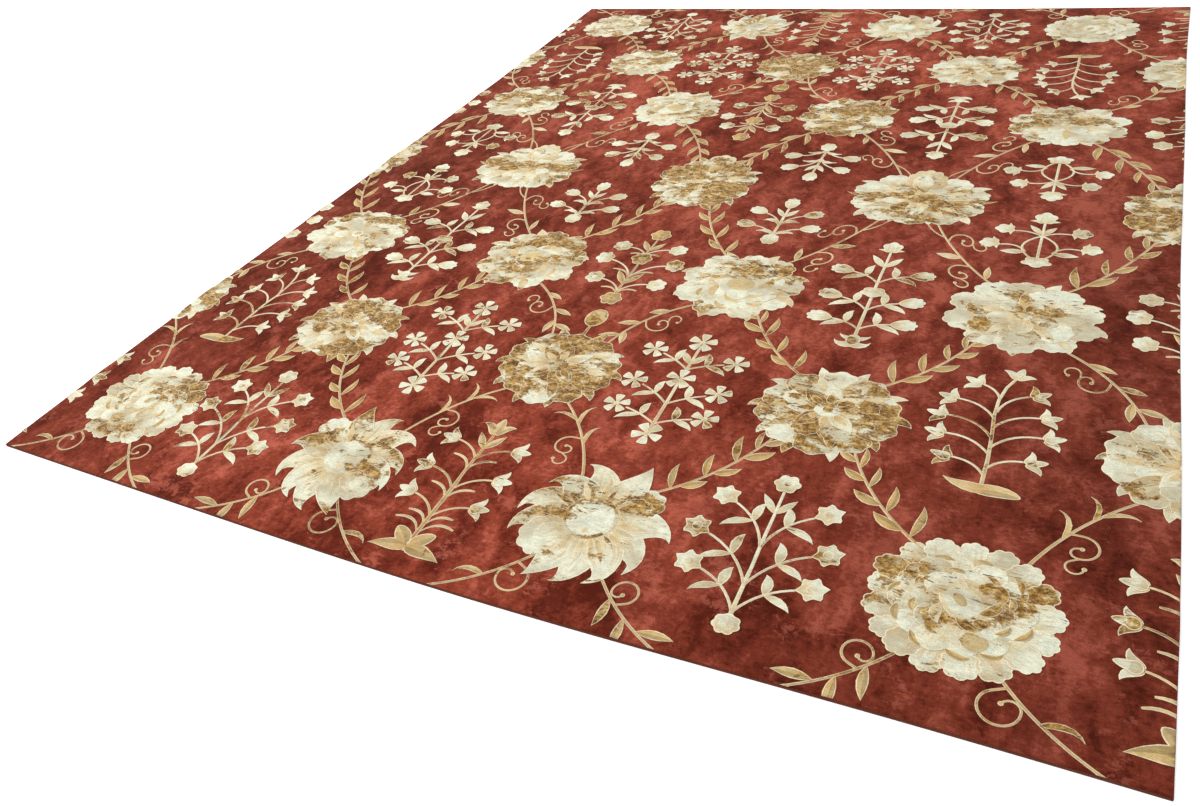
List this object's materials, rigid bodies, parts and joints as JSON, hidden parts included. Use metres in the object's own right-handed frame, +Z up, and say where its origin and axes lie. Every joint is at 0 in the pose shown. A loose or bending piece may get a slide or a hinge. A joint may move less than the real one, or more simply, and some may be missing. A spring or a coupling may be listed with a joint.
{
  "type": "oushak rug",
  "caption": "Large flat pile rug in rust red with a lattice of cream flower heads, sprigs and vines, lying flat on the floor.",
  "frame": {"origin": "on the floor under the middle of the rug's outline box", "axes": "+X across the rug, +Y along it to the far end, +Z up out of the pile"},
  "size_m": [2.7822, 3.688, 0.0123],
  "materials": {
    "wool_pile": "short cut wool pile, rust red with cloudy shading from the lie of the pile",
    "silk_pile": "lustrous cream and pale gold silk pile of the flowers, leaves and vines",
    "woven_back": "knotted back with pale foundation threads"
  },
  "bodies": {
    "root": {"rug": "wool_pile"}
  },
  "joints": []
}
